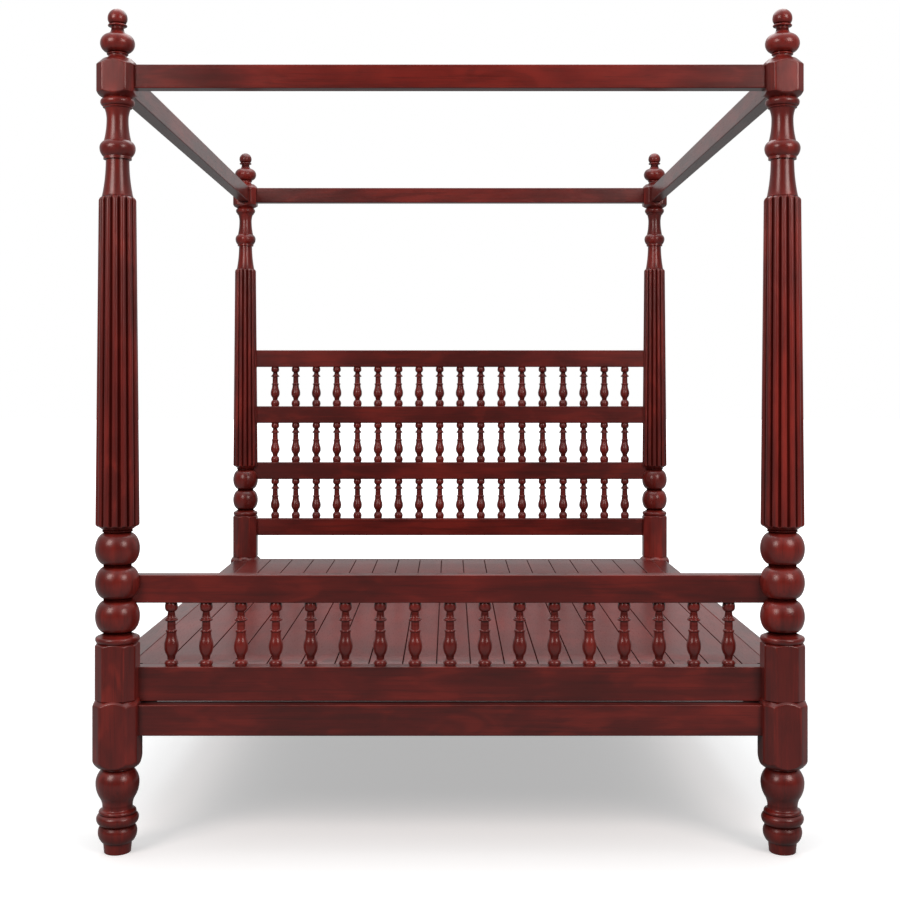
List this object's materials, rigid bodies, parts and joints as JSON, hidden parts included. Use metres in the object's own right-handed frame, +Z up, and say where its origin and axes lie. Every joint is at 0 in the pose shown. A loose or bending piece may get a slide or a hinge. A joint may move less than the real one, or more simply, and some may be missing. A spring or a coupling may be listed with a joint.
{
  "type": "four-poster bed frame",
  "caption": "Four-poster spindle bed with turned and fluted posts, an open canopy frame, spindled head and foot boards and a boarded deck.",
  "frame": {"origin": "on the floor under the middle of the bed, midway between the four posts", "axes": "+X to the right seen from the foot, +Y from the footboard to the headboard, +Z up"},
  "size_m": [1.7729, 2.2105, 2.106],
  "materials": {
    "turned_wood": "satin lacquer over red-brown stain",
    "rail_wood": "satin lacquer over red-brown stain",
    "deck_wood": "satin lacquer over red-brown stain",
    "bare_wood": "bare planed wood",
    "steel": "plain steel"
  },
  "bodies": {
    "root": {"foot_left_leg": "turned_wood", "foot_left_post": "turned_wood", "foot_left_finial": "turned_wood", "foot_right_leg": "turned_wood", "foot_right_post": "turned_wood", "foot_right_finial": "turned_wood", "head_left_leg": "turned_wood", "head_left_post": "turned_wood", "head_left_finial": "turned_wood", "head_right_leg": "turned_wood", "head_right_post": "turned_wood", "head_right_finial": "turned_wood", "footboard_spindles": "turned_wood", "headboard_spindles_lower": "turned_wood", "headboard_spindles_middle": "turned_wood", "headboard_spindles_upper": "turned_wood", "bolt_plugs": "turned_wood", "canopy_rail_foot": "rail_wood", "canopy_rail_head": "rail_wood", "canopy_rail_left": "rail_wood", "canopy_rail_right": "rail_wood", "foot_base_rail": "rail_wood", "head_base_rail": "rail_wood", "footboard_lower_rail": "rail_wood", "head_deck_rail": "rail_wood", "footboard_top_rail": "rail_wood", "headboard_bottom_rail": "rail_wood", "headboard_lower_middle_rail": "rail_wood", "headboard_upper_middle_rail": "rail_wood", "headboard_top_rail": "rail_wood", "side_rail_left": "rail_wood", "side_rail_right": "rail_wood", "deck_board_01": "deck_wood", "deck_board_02": "deck_wood", "deck_board_03": "deck_wood", "deck_board_04": "deck_wood", "deck_board_05": "deck_wood", "deck_board_06": "deck_wood", "deck_board_07": "deck_wood", "deck_board_08": "deck_wood", "deck_board_09": "deck_wood", "deck_board_10": "deck_wood", "deck_board_11": "deck_wood", "deck_board_12": "deck_wood", "deck_board_13": "deck_wood", "deck_board_14": "deck_wood", "deck_board_15": "deck_wood", "deck_board_16": "deck_wood", "deck_board_17": "deck_wood", "deck_board_18": "deck_wood", "deck_board_19": "deck_wood", "ledger_left": "bare_wood", "ledger_right": "bare_wood", "bearer_1": "bare_wood", "bearer_2": "bare_wood", "bearer_3": "bare_wood", "bearer_4": "bare_wood", "bearer_5": "bare_wood", "bed_bolts": "steel", "barrel_nuts": "steel"}
  },
  "joints": []
}
